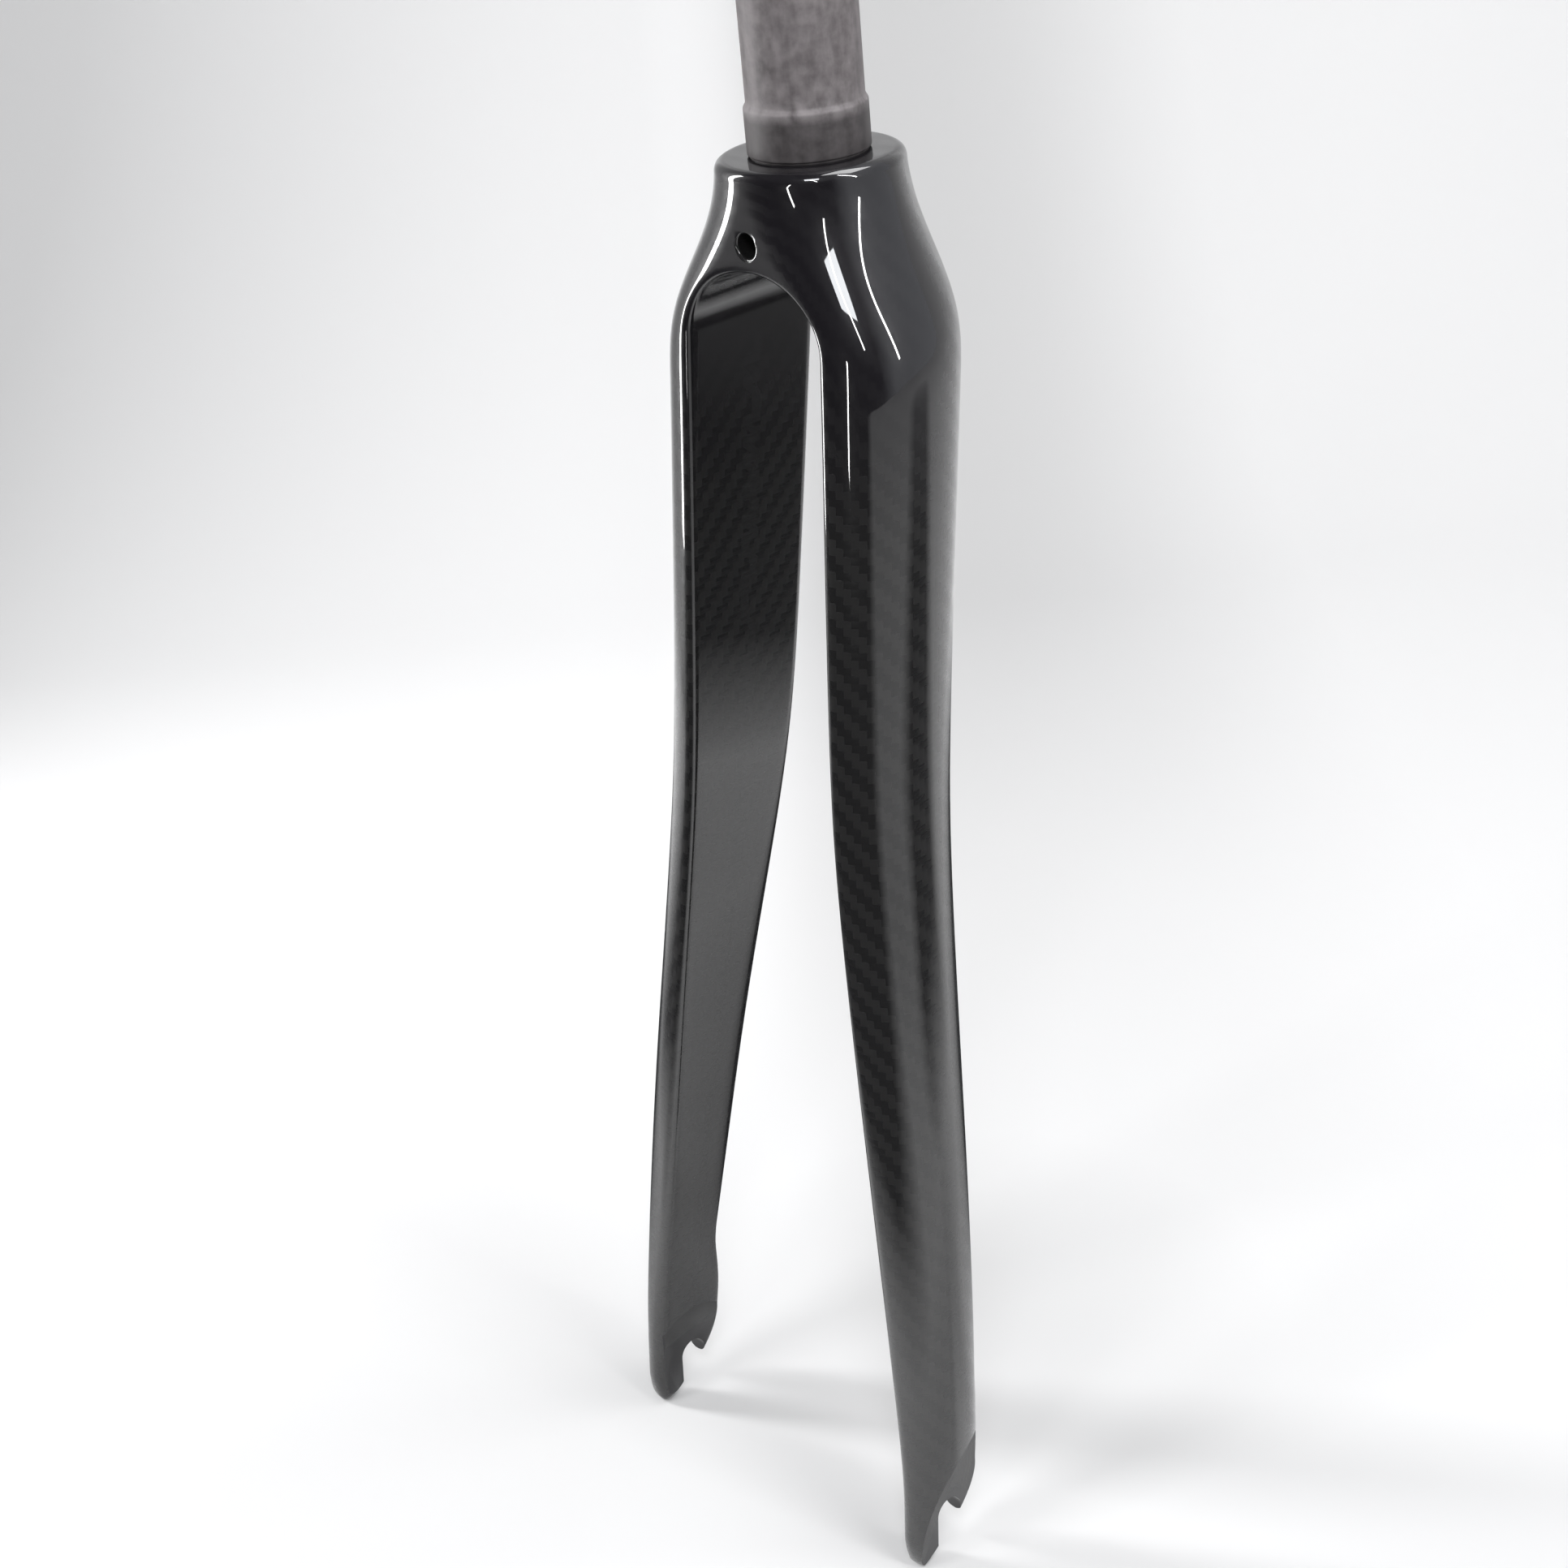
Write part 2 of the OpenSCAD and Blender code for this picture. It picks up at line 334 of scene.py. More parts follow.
    # the rounded edge where the inner face meets the outer curve
    frontEdge = mix(p.innerEdge, p.frontTip, ease((inH - p.bendDepth) / (p.axleDrop - p.bendDepth)))
    grown = mix(p.innerEdge, p.innerRear, ease((inH - p.edgeStart) / p.edgeRun))
    shrunk = mix(p.innerRear, p.rearTip, ease((inH - p.edgeLow) / (p.tipDepth - p.edgeLow)))
    rearEdge = mix(grown, shrunk, above(inH, p.edgeLow))
    widthY = rearY(inH) - frontY(inH)
    room = least(p.edgeShare * widthY, p.edgeShareAcross * across)
    edge = least(room, mix(rearEdge, frontEdge, isFront))
    edgeShare = edge / across
    startY = surfaceY(inX, inH)
    turnY = startY + inward * edge
    edgeY = surfaceY(mix(inX, outX, edgeShare), mix(inH, outH, edgeShare))

    # the point on the loop
    flatPart = clamp01(g / loop["flat"])
    e = clamp01((g - loop["flat"]) / loop["edge"])
    s = clamp01((g - loop["flat"] - loop["edge"]) / loop["side"])
    strip = clamp01((g - loop["flat"] - loop["edge"] - loop["side"]) / loop["strip"])
    onSide = above(s, 0.0)
    t = mix(edgeShare * e * e, sine(mix(calc("ARCSINE", edgeShare), quarter, s)), onSide)
    x = mix(inX, outX, t)
    h = mix(inH, outH, t)
    keep = 1.0 - e
    bendY = turnY * keep * keep + startY * 2.0 * e * keep + edgeY * e * e
    flatY = mix((frontY(inH) + rearY(inH)) * 0.5, turnY, flatPart)
    nearY = mix(flatY, bendY, above(e, 0.0))
    farY = mix(surfaceY(x, h), middleY(outH), strip)
    y = mix(nearY, farY, onSide)

    grid = tree.nodes.new("GeometryNodeMeshGrid")
    grid.inputs["Size X"].default_value = 1.0
    grid.inputs["Size Y"].default_value = 1.0
    grid.inputs["Vertices X"].default_value = 2 * ringHalf + 1
    grid.inputs["Vertices Y"].default_value = 2 * loopHalf + 1
    joined = tree.nodes.new("ShaderNodeCombineXYZ")
    for slot, value in zip(joined.inputs, (side * x, y, -h)):
        tree.links.new((value * mm).socket, slot)

    def chain(kind, geometry, **links):
        node = tree.nodes.new(kind)
        tree.links.new(geometry, node.inputs["Geometry" if "Geometry" in node.inputs else "Mesh"])
        for name, socket in links.items():
            tree.links.new(socket, node.inputs[name])
        return node

    def keepValue(geometry, name, value):
        node = chain("GeometryNodeStoreNamedAttribute", geometry, Value=value)
        node.data_type = "FLOAT"
        node.domain = "POINT"
        node.inputs["Name"].default_value = name
        return node.outputs[0]

    shape = keepValue(grid.outputs["Mesh"], "ringNumber", ring.socket)
    shape = keepValue(shape, "loopNumber", step.socket)
    moved = chain("GeometryNodeSetPosition", shape, Position=joined.outputs[0])
    smooth = chain("GeometryNodeSetShadeSmooth", moved.outputs[0])
    real = chain("GeometryNodeRealizeInstances", smooth.outputs[0])
    finish = chain("GeometryNodeSetMaterial", real.outputs[0], Material=entry.outputs["material"])
    leave = tree.nodes.new("NodeGroupOutput")
    tree.links.new(finish.outputs[0], leave.inputs[0])
    return tree


# the tree's shape as a plain mesh
def makePlain(name, group, values):
    holder = bpy.data.objects.new(name + "Holder", bpy.data.meshes.new(name + "Holder"))
    scene.collection.objects.link(holder)
    modifier = holder.modifiers.new(name, "NODES")
    modifier.node_group = group
    for item in group.interface.items_tree:
        if item.item_type == "SOCKET" and item.in_out == "INPUT" and item.name in values:
            modifier[item.identifier] = values[item.name]
    bpy.context.view_layer.update()
    graph = bpy.context.evaluated_depsgraph_get()
    mesh = bpy.data.meshes.new_from_object(holder.evaluated_get(graph))
    holder.modifiers.remove(modifier)
    bpy.data.objects.remove(holder)
    piece = bpy.data.objects.new(name, mesh)
    scene.collection.objects.link(piece)
    return piece


def newMaterial(name):
    material = bpy.data.materials.new(name)
    material.use_nodes = True
    return material, material.node_tree.nodes["Principled BSDF"]


lacquer, lacquerShader = newMaterial("lacqueredCarbon")
fork = makePlain("crownAndBlades", forkTree(forkSizes), dict(forkSizes, material=lacquer))
print("stage: fork shape,", len(fork.data.vertices), "points")


# lengths round each section and down the blade, for the weave
def layWeave(mesh):
    count = len(mesh.vertices)
    numbers = []
    for name in ("ringNumber", "loopNumber"):
        values = np.zeros(count, np.float32)
        mesh.attributes[name].data.foreach_get("value", values)
        numbers.append(np.rint(values).astype(int))
    ring, step = numbers[0] + ringHalf, numbers[1]
    place = np.zeros(count * 3, np.float32)
    mesh.vertices.foreach_get("co", place)
    place = place.reshape(-1, 3)
    table = np.zeros((2 * ringHalf + 1, 2 * loopHalf + 1, 3))
    table[ring, step] = place
    run = np.linalg.norm(np.diff(table, axis=1), axis=2)
    around = np.concatenate([np.zeros((len(run), 1)), np.cumsum(run, axis=1)], axis=1)
    around -= around[:, loopHalf : loopHalf + 1]
    weave = np.stack([around[ring, step], place[:, 2], np.zeros(count)], 1)
    layer = mesh.attributes.new("weave", "FLOAT_VECTOR", "POINT")
    layer.data.foreach_set("vector", weave.astype(np.float32).ravel())
    for name in ("ringNumber", "loopNumber"):
        mesh.attributes.remove(mesh.attributes[name])


layWeave(fork.data)


def closeShell(mesh, weldWithin=0.002, dropBelow=0.001):
    shell = bmesh.new()
    shell.from_mesh(mesh)
    bmesh.ops.remove_doubles(shell, verts=shell.verts, dist=weldWithin * mm)
    bmesh.ops.dissolve_degenerate(shell, edges=shell.edges, dist=dropBelow * mm)
    bmesh.ops.recalc_face_normals(shell, faces=shell.faces)
    openEdges = sum(1 for e in shell.edges if len(e.link_faces) != 2)
    shell.to_mesh(mesh)
    shell.free()
    print("stage: fork closed,", openEdges, "open edges")


closeShell(fork.data)


# one solid from a shape, smooth and with its faces outwards
def smoothSolid(name, shape, place, material):
    bmesh.ops.transform(shape, matrix=place, verts=shape.verts)
    bmesh.ops.recalc_face_normals(shape, faces=shape.faces)
    for f in shape.faces:
        f.smooth = True
    mesh = bpy.data.meshes.new(name)
    shape.to_mesh(mesh)
    shape.free()
    mesh.materials.append(material)
    solid = bpy.data.objects.new(name, mesh)
    scene.collection.objects.link(solid)
    return solid


# a turned profile: closed at its ends, or joined to itself as a tube
def turnedMesh(name, profile, place, steps, material, tube=False):
    shape = bmesh.new()
    circles = []
    for along, radius in profile:
        ring = []
        for i in range(steps):
            a = 2 * math.pi * i / steps
            ring.append(shape.verts.new((radius * math.cos(a) * mm, radius * math.sin(a) * mm, along * mm)))
        circles.append(ring)
    if tube:
        circles.append(circles[0])
    for low, high in zip(circles, circles[1:]):
        for i in range(steps):
            j = (i + 1) % steps
            shape.faces.new((low[i], low[j], high[j], high[i]))
    if not tube:
        shape.faces.new(list(reversed(circles[0])))
        shape.faces.new(circles[-1])
    return smoothSolid(name, shape, place, material)


# a slot with one round end, which leans as it runs out of its open end
def slotMesh(name, width, leanAngle, reach, low, high, place, steps=40):
    shape = bmesh.new()
    half = width / 2
    turns = [math.pi * i / steps for i in range(steps + 1)]
    outline = [(half * math.cos(a), half * math.sin(a)) for a in turns]
    drift = math.tan(math.radians(leanAngle)) * reach
    outline += [(-half - drift, -reach), (half - drift, -reach)]
    layers = [[shape.verts.new((x * mm, y * mm, z * mm)) for y, z in outline] for x in (low, high)]
    count = len(outline)
    for i in range(count):
        j = (i + 1) % count
        shape.faces.new((layers[0][i], layers[0][j], layers[1][j], layers[1][i]))
    shape.faces.new(list(reversed(layers[0])))
    shape.faces.new(layers[1])
    return smoothSolid(name, shape, place, lacquer)


def cutAway(piece, cutters):
    for cutter in cutters:
        modifier = piece.modifiers.new("cut", "BOOLEAN")
        modifier.operation = "DIFFERENCE"
        modifier.solver = "EXACT"
        modifier.object = cutter
    bpy.context.view_layer.update()
    graph = bpy.context.evaluated_depsgraph_get()
    mesh = bpy.data.meshes.new_from_object(piece.evaluated_get(graph))
    piece.modifiers.clear()
    old = piece.data
    piece.data = mesh
    bpy.data.meshes.remove(old)
    for cutter in cutters:
        bpy.data.objects.remove(cutter)


# sizes of the cuts in millimetres and degrees
cuts = {
    "axle": (0.0, -43.0, -363.5),
    "socketRadius": 14.4,
    "socketDepth": 12.0,
    "past": 1.0,
    "brakeDepth": 17.5,
    "brakeFront": -23.52,
    "brakeBack": 40.0,
    "boltRadius": 3.1,
    "boltLength": 14.0,
    "boltLip": 0.7,
    "boltPast": 4.0,
    "boltWidening": 0.3,
    "nutRadius": 4.1,
    "hubSeat": 17.0,
    "hubReach": 12.0,
    "recessRadius": 38.5,
    "recessBack": 26.0,
    "recessBelow": 14.0,
    "recessSlope": 1.0,
    "recessReach": 12.0,
    "dropout": 6.0,
    "hubHalf": 50.0,
    "slotWidth": 9.1,
    "slotLean": 4.0,
    "slotReach": 30.0,
    "slotInside": 4.0,
    "slotOutside": 6.0,
    "sharpAngle": 34.0,
}


# a hole's rounded edge, and a widening cone beyond it
def roundMouth(radius, lip, mouth, beyond, widening, steps=8):
    points = []
    for i in range(steps + 1):
        a = math.pi / 2 * i / steps
        points.append((mouth - lip * (1 - math.sin(a)), radius + lip * (1 - math.cos(a))))
    points.append((mouth + beyond, radius + lip + beyond * widening))
    return points


def makeCutters(c):
    forward = Matrix.Translation((0, 0, -c["brakeDepth"] * mm)) @ Matrix.Rotation(math.pi / 2, 4, "X")
    mouth = -c["brakeFront"]
    step = mouth - c["boltLength"]
    bolt = [(-c["brakeBack"], c["nutRadius"]), (step, c["nutRadius"]), (step, c["boltRadius"])]
    bolt += roundMouth(c["boltRadius"], c["boltLip"], mouth, c["boltPast"], c["boltWidening"])
    cutters = [
        turnedMesh(
            "socketCut",
            [(-c["socketDepth"], c["socketRadius"]), (c["past"], c["socketRadius"])],
            Matrix.Identity(4),
            128,
            lacquer,
        ),
        turnedMesh("brakeCut", bolt, forward, 64, lacquer),
    ]
    y, z = c["axle"][1], c["axle"][2]
    for side in (1, -1):
        out = Matrix.Rotation(side * math.pi / 2, 4, "Y")
        axle = Matrix.Translation((0, y * mm, z * mm)) @ out
        hub = [(c["hubHalf"] - c["hubReach"], c["hubSeat"]), (c["hubHalf"], c["hubSeat"])]
        cutters.append(turnedMesh("hubCut", hub, axle, 128, lacquer))
        centre = Matrix.Translation((0, (y + c["recessBack"]) * mm, (z - c["recessBelow"]) * mm)) @ out
        flat = c["hubHalf"] + c["dropout"]
        reach = c["recessReach"]
        recess = [(flat, c["recessRadius"]), (flat + reach, c["recessRadius"] + c["recessSlope"] * reach)]
        cutters.append(turnedMesh("recessCut", recess, centre, 200, lacquer))
        low, high = sorted((side * (c["hubHalf"] - c["slotInside"]), side * (flat + c["slotOutside"])))
        place = Matrix.Translation((0, y * mm, z * mm))
        slot = slotMesh("slotCut", c["slotWidth"], c["slotLean"], c["slotReach"], low, high, place)
        cutters.append(slot)
    return cutters


cutAway(fork, makeCutters(cuts))
fork.data.set_sharp_from_angle(angle=math.radians(cuts["sharpAngle"]))
print("stage: fork cut,", len(fork.data.polygons), "faces")
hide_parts("crown_and_blades")
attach(fork, "root")

# steerer tube: lengths in millimetres, heights above the crown's top
tubeSizes = {
    "radius": 14.3,
    "bore": 11.3,
    "length": 300.0,
    "seatRadius": 15.0,
    "seatHeight": 11.5,
    "chamfer": 1.2,
    "socketDepth": 12.0,
    "glueHeight": 0.45,
    "footRadius": 0.5,
    "lip": 0.35,
    "endEdge": 0.4,
    "sharpAngle": 40.0,
}


# a corner rounded along a parabola
def rounded(corner, before, after, radius, steps=5):
    place = Vector(corner)
    start = place + (Vector(before) - place).normalized() * radius
    stop = place + (Vector(after) - place).normalized() * radius
    shares = [i / steps for i in range(steps + 1)]
    return [tuple(start * (1 - s) ** 2 + place * 2 * s * (1 - s) + stop * s * s) for s in shares]


def steererProfile(t):
    top = t["length"]
    foot, seatTop = t["glueHeight"], t["seatHeight"]
    corners = [
        ((-t["socketDepth"], t["bore"]), 0.0),
        ((-t["socketDepth"], t["radius"]), t["endEdge"]),
        ((foot, t["radius"]), 0.0),
        ((foot, t["seatRadius"]), t["footRadius"]),
        ((seatTop, t["seatRadius"]), t["lip"]),
        ((seatTop + t["chamfer"], t["radius"]), t["lip"]),
        ((top, t["radius"]), t["endEdge"]),
        ((top, t["bore"]), t["endEdge"]),
    ]
    outline = []
    for i, (corner, radius) in enumerate(corners):
        before, after = corners[i - 1][0], corners[(i + 1) % len(corners)][0]
        outline += rounded(corner, before, after, radius) if radius else [corner]
    return outline


rawCarbon, rawShader = newMaterial("rawCarbon")
outline = steererProfile(tubeSizes)
steererTube = turnedMesh("steererTube", outline, Matrix.Identity(4), 160, rawCarbon, tube=True)
steererTube.data.set_sharp_from_angle(angle=math.radians(tubeSizes["sharpAngle"]))
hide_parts("steerer")
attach(steererTube, "root")
print("stage: steerer turned")

# materials: woven carbon under clear lacquer, and raw sanded carbon
weaveLook = {
    "towWidth": 0.002,
    "black": (0.0070, 0.0064, 0.0078, 1),
    "darkTow": (0.0100, 0.0098, 0.0100, 1),
    "lightTow": (0.0150, 0.0147, 0.0147, 1),
    "blackAbove": -0.045,
    "wovenBelow": -0.085,
    "twillStep": 4.0,
    "twillUp": 1.5,
    "smoothest": 0.34,
    "roughest": 0.46,
    "bumpDepth": 0.00002,
    "baseGloss": 0.1,
    "coatRoughness": 0.03,
    "coatBend": 1.6,
}
rawLook = {
    "dark": (0.070, 0.062, 0.064, 1),
    "light": (0.165, 0.150, 0.154, 1),
    "lightBand": (0.230, 0.215, 0.220, 1),
    "bandShare": 0.7,
    # painted shade: the seat darkened to this share of its colour
    "seatPaintedShade": 0.45,
    "streakScale": (300.0, 300.0, 60.0),
    "streakShare": 0.45,
    "mottleScale": 330.0,
    "mottleShare": 0.55,
    "darkBelow": 0.34,
    "lightAbove": 0.66,
    "bandFrom": 0.0090,
    "bandTo": 0.0118,
    "bandEnd": 0.0150,
    "smoothest": 0.50,
    "roughest": 0.66,
    "gloss": 0.3,
    "bumpStrength": 0.3,
    "bumpDepth": 0.0003,
}


def shaderNodes(material):
    nodes = material.node_tree.nodes
    links = material.node_tree.links

    def add(kind, inputs=None, **settings):
        node = nodes.new(kind)
        for name, value in settings.items():
            setattr(node, name, value)
        for name, value in (inputs or {}).items():
            if isinstance(value, bpy.types.NodeSocket):
                links.new(value, node.inputs[name])
            else:
                node.inputs[name].default_value = value
        return node

    def math2(operation, *values):
        return add("ShaderNodeMath", dict(enumerate(values)), operation=operation).outputs[0]

    return add, math2, links


def mapRange(add, value, low, high, fromLow, fromHigh):
    inputs = {"Value": value, "From Min": fromLow, "From Max": fromHigh, "To Min": low, "To Max": high}
    return add("ShaderNodeMapRange", inputs).outputs[0]


def dressLacquer(material, shader, look):
    add, math2, links = shaderNodes(material)
    weave = add("ShaderNodeAttribute", attribute_name="weave").outputs["Vector"]
    parts = add("ShaderNodeSeparateXYZ", {"Vector": weave})
    across = math2("DIVIDE", parts.outputs[0], look["towWidth"])
    along = math2("DIVIDE", parts.outputs[1], look["towWidth"])
    cell = math2("ADD", math2("FLOOR", across), math2("FLOOR", along))
    turn = math2("FLOORED_MODULO", cell, look["twillStep"])
    warpUp = math2("LESS_THAN", turn, look["twillUp"])
    warpRound = math2("SINE", math2("MULTIPLY", math2("FRACT", across), math.pi))
    weftRound = math2("SINE", math2("MULTIPLY", math2("FRACT", along), math.pi))
    bulge = add("ShaderNodeMix", {0: warpUp, 2: weftRound, 3: warpRound}).outputs[0]
    tow = add("ShaderNodeMix", {0: warpUp, 6: look["darkTow"], 7: look["lightTow"]}, data_type="RGBA")
    woven = mapRange(add, parts.outputs[1], 0.0, 1.0, look["blackAbove"], look["wovenBelow"])
    colour = add("ShaderNodeMix", {0: woven, 6: look["black"], 7: tow.outputs[2]}, data_type="RGBA")
    links.new(colour.outputs[2], shader.inputs["Base Color"])
    raised = math2("MULTIPLY", bulge, woven)
    bump = add("ShaderNodeBump", {"Height": raised, "Strength": 1.0, "Distance": look["bumpDepth"]})
    links.new(bump.outputs[0], shader.inputs["Normal"])
    rough = mapRange(add, warpUp, look["smoothest"], look["roughest"], 0.0, 1.0)
    links.new(rough, shader.inputs["Roughness"])
    shader.inputs["Specular IOR Level"].default_value = look["baseGloss"]
    shader.inputs["Coat Weight"].default_value = 1.0
    shader.inputs["Coat Roughness"].default_value = look["coatRoughness"]
    shader.inputs["Coat IOR"].default_value = look["coatBend"]


def dressRaw(material, shader, look):
    add, math2, links = shaderNodes(material)
    where = add("ShaderNodeTexCoord").outputs["Object"]
    stretched = add("ShaderNodeMapping", {"Vector": where, "Scale": look["streakScale"]})
    streaks = add("ShaderNodeTexNoise", {"Vector": stretched.outputs[0], "Scale": 1.0, "Detail": 5.0})
    mottle = add("ShaderNodeTexNoise", {"Vector": where, "Scale": look["mottleScale"], "Detail": 6.0})
    streaked = math2("MULTIPLY", streaks.outputs[0], look["streakShare"])
    both = math2("ADD", streaked, math2("MULTIPLY", mottle.outputs[0], look["mottleShare"]))
    share = mapRange(add, both, 0.0, 1.0, look["darkBelow"], look["lightAbove"])
    colour = add("ShaderNodeMix", {0: share, 6: look["dark"], 7: look["light"]}, data_type="RGBA")
    height = add("ShaderNodeSeparateXYZ", {"Vector": where}).outputs[2]
    # a lighter, mottled band round the seat's top edge
    risen = mapRange(add, height, 0.0, 1.0, look["bandFrom"], look["bandTo"])
    fallen = mapRange(add, height, 1.0, 0.0, look["bandTo"], look["bandEnd"])
    bandShare = math2("MULTIPLY", math2("MULTIPLY", risen, fallen), math2("MULTIPLY", share, look["bandShare"]))
    lightBand = add("ShaderNodeMix", {0: bandShare, 6: colour.outputs[2], 7: look["lightBand"]}, data_type="RGBA")
    # painted shade: the seat and the part below it are darkened, back to full colour at the seat's top edge
    paintedShade = mapRange(add, height, look["seatPaintedShade"], 1.0, look["bandFrom"], look["bandTo"])
    seatShadedColour = add("ShaderNodeVectorMath", {0: lightBand.outputs[2], "Scale": paintedShade}, operation="SCALE")
    links.new(seatShadedColour.outputs[0], shader.inputs["Base Color"])
    rough = mapRange(add, share, look["smoothest"], look["roughest"], 0.0, 1.0)
    links.new(rough, shader.inputs["Roughness"])
    shader.inputs["Specular IOR Level"].default_value = look["gloss"]
    depth = {"Strength": look["bumpStrength"], "Distance": look["bumpDepth"]}
    bump = add("ShaderNodeBump", {"Height": both, **depth})
    links.new(bump.outputs[0], shader.inputs["Normal"])


dressLacquer(lacquer, lacquerShader, weaveLook)
dressRaw(rawCarbon, rawShader, rawLook)
print("stage: materials")

# floor and wall in one sweep, turned to face the camera, in its own metres: x to the right, y away.
# Pairs say where a tone starts and where it is full.
studio = {
    "floorZ": -0.3762,
    "wallBack": 1.1,
    "cove": 0.5,
    "coveSteps": 24,
    "height": 2.2,
    "width": 4.0,
    "front": -2.2,
    "turn": 46.3,
    "roughness": 0.9,
    "gloss": 0.1,
    # what lights the fork
    "paper": (0.85, 0.85, 0.855, 1),
    # what the camera sees, with painted shade: a tone for each x on the wall, dark in a band that paints
    # the fork's shadow and dimmer on the left, one tone on the floor, and soft round painted shades, a
    # painted shadow just behind the feet and a dimmer floor left of the fork
    "paperSeen": (0.84, 0.84, 0.845),
    "glowSeen": 0.11,
    "toneSpan": 0.6,
    "paintedShadeTones": {-0.50: 0.77, -0.10: 0.97, -0.05: 0.97, -0.01: 0.64, 0.13: 0.70, 0.24: 0.94, 0.55: 0.98},
    "floorTone": 0.77,
    "floorShare": 0.8,
    "floorEnds": (0.6, 0.1),
    "paintedShadePatches": (((0.02, 0.03, 0.0), 0.84, 0.10), ((-0.25, -0.05, 0.0), 0.82, 0.50)),
    # painted reflection: what the lacquer and every other ray but the camera's see, the room's dark sides
    # painted on the sweep, left and right, and round painted dark patches, two of them painted shade on the
    # floor by the fork
    "far": (0.02, 0.02, 0.022, 1),
    "left": (0.05, -0.18),
    "leftBehind": (0.45, 0.15),
    "right": (0.29, 0.49),
    "rightFront": (-0.6, -0.3),
    "rightBehind": (0.13, 0.03),
    "rightEnd": (1.8, 0.8),
    "clearOfFork": (0.16, 0.34),
    "paintedDarkPatches": (
        ((0.0, 0.28, 0.0), 1.0, 0.20, 0.36),
        ((0.10, -0.03, 0.0), 0.25, 0.10, 0.25),
        ((0.10, 1.10, 0.0), 0.45, 0.25, 0.60),
        ((-0.90, 1.10, 0.0), 0.5, 0.30, 0.80),
    ),
    # painted reflection: the sweep's glow in the lacquer, the first value near the fork and the second far
    # off
    "glowMirrored": (0.22, 0.5),
    "glowReach": (0.9, 1.8),
}


def dressPaper(material, shader, s):
    add, math2, links = shaderNodes(material)
    where = add("ShaderNodeSeparateXYZ", {"Vector": add("ShaderNodeTexCoord").outputs["Object"]})
    x, y = where.outputs[0], where.outputs[1]
    flat = add("ShaderNodeCombineXYZ", {"X": x, "Y": y}).outputs[0]
    reach = add("ShaderNodeVectorMath", {0: flat}, operation="LENGTH").outputs["Value"]

    def rises(value, ends, full=1.0):
        start, stop = ends
        if start < stop:
            return mapRange(add, value, 0.0, full, start, stop)
        return mapRange(add, value, full, 0.0, stop, start)

    def patch(centre, top, low, start, stop):
        away = add("ShaderNodeVectorMath", {0: flat, 1: centre}, operation="DISTANCE")
        return mapRange(add, away.outputs["Value"], top, low, start, stop)

    # painted reflection and painted shade: the sweep shown dark to every ray but the camera's, on the left,
    # on the right and in round patches
    left = math2("MULTIPLY", rises(x, s["left"]), rises(y, s["leftBehind"]))
    alongRight = math2("MULTIPLY", rises(x, s["right"]), rises(x, s["rightEnd"]))
    acrossRight = math2("MULTIPLY", rises(y, s["rightFront"]), rises(y, s["rightBehind"]))
    far = math2("MAXIMUM", left, math2("MULTIPLY", alongRight, acrossRight))
    far = math2("MULTIPLY", far, rises(reach, s["clearOfFork"]))
    for centre, share, start, stop in s["paintedDarkPatches"]:
        far = math2("MAXIMUM", far, patch(centre, share, 0.0, start, stop))

    # painted shade: the camera-seen tone, dark in the painted band of the fork's shadow and dimmer on the
    # left, with one tone on the near floor
    across = mapRange(add, x, 0.0, 1.0, -s["toneSpan"], s["toneSpan"])
    ramp = add("ShaderNodeValToRGB", {"Fac": across})
    ramp.color_ramp.interpolation = "B_SPLINE"
    while len(ramp.color_ramp.elements) < len(s["paintedShadeTones"]):
        ramp.color_ramp.elements.new(0.5)
    for element, (place, value) in zip(ramp.color_ramp.elements, s["paintedShadeTones"].items()):
        element.position = 0.5 + 0.5 * place / s["toneSpan"]
        element.color = (value, value, value, 1)
    onFloor = rises(y, s["floorEnds"], s["floorShare"])
    paintedTone = add("ShaderNodeMix", {0: onFloor, 2: ramp.outputs["Color"], 3: s["floorTone"]}).outputs[0]
    # painted shadow just behind the fork's feet, and painted shade dimming the floor left of the fork
    for centre, paintedShade, stop in s["paintedShadePatches"]:
        paintedTone = math2("MULTIPLY", paintedTone, patch(centre, paintedShade, 1.0, 0.0, stop))

    path = add("ShaderNodeLightPath").outputs
    seen = path["Is Camera Ray"]
    seenPaper = add("ShaderNodeVectorMath", {0: s["paperSeen"], "Scale": paintedTone}, operation="SCALE")
    unseen = add("ShaderNodeMix", {0: far, 6: s["paper"], 7: s["far"]}, data_type="RGBA")
    sides = {0: seen, 6: unseen.outputs[2], 7: seenPaper.outputs[0]}
    colour = add("ShaderNodeMix", sides, data_type="RGBA")
    links.new(colour.outputs[2], shader.inputs["Base Color"])
    # painted reflection: the sweep glows in the lacquer, more so far from the fork, but not where it is
    # painted dark
    mirrored = math2("MULTIPLY", path["Is Glossy Ray"], math2("SUBTRACT", 1.0, far))
    glowMirrored = mapRange(add, reach, *s["glowMirrored"], *s["glowReach"])
    glowSeen = math2("MULTIPLY", math2("MULTIPLY", seen, s["glowSeen"]), paintedTone)
    glow = math2("MULTIPLY_ADD", mirrored, glowMirrored, glowSeen)
    links.new(glow, shader.inputs["Emission Strength"])
    shader.inputs["Emission Color"].default_value = (1, 1, 1, 1)
    shader.inputs["Roughness"].default_value = s["roughness"]
    shader.inputs["Specular IOR Level"].default_value = s["gloss"]

    # a view from outside the sweep looks through it
    clear = add("ShaderNodeBsdfTransparent").outputs[0]
    fromBack = add("ShaderNodeNewGeometry").outputs["Backfacing"]
    surface = add("ShaderNodeMixShader", {0: fromBack, 1: shader.outputs[0], 2: clear})
    links.new(surface.outputs[0], material.node_tree.nodes["Material Output"].inputs["Surface"])


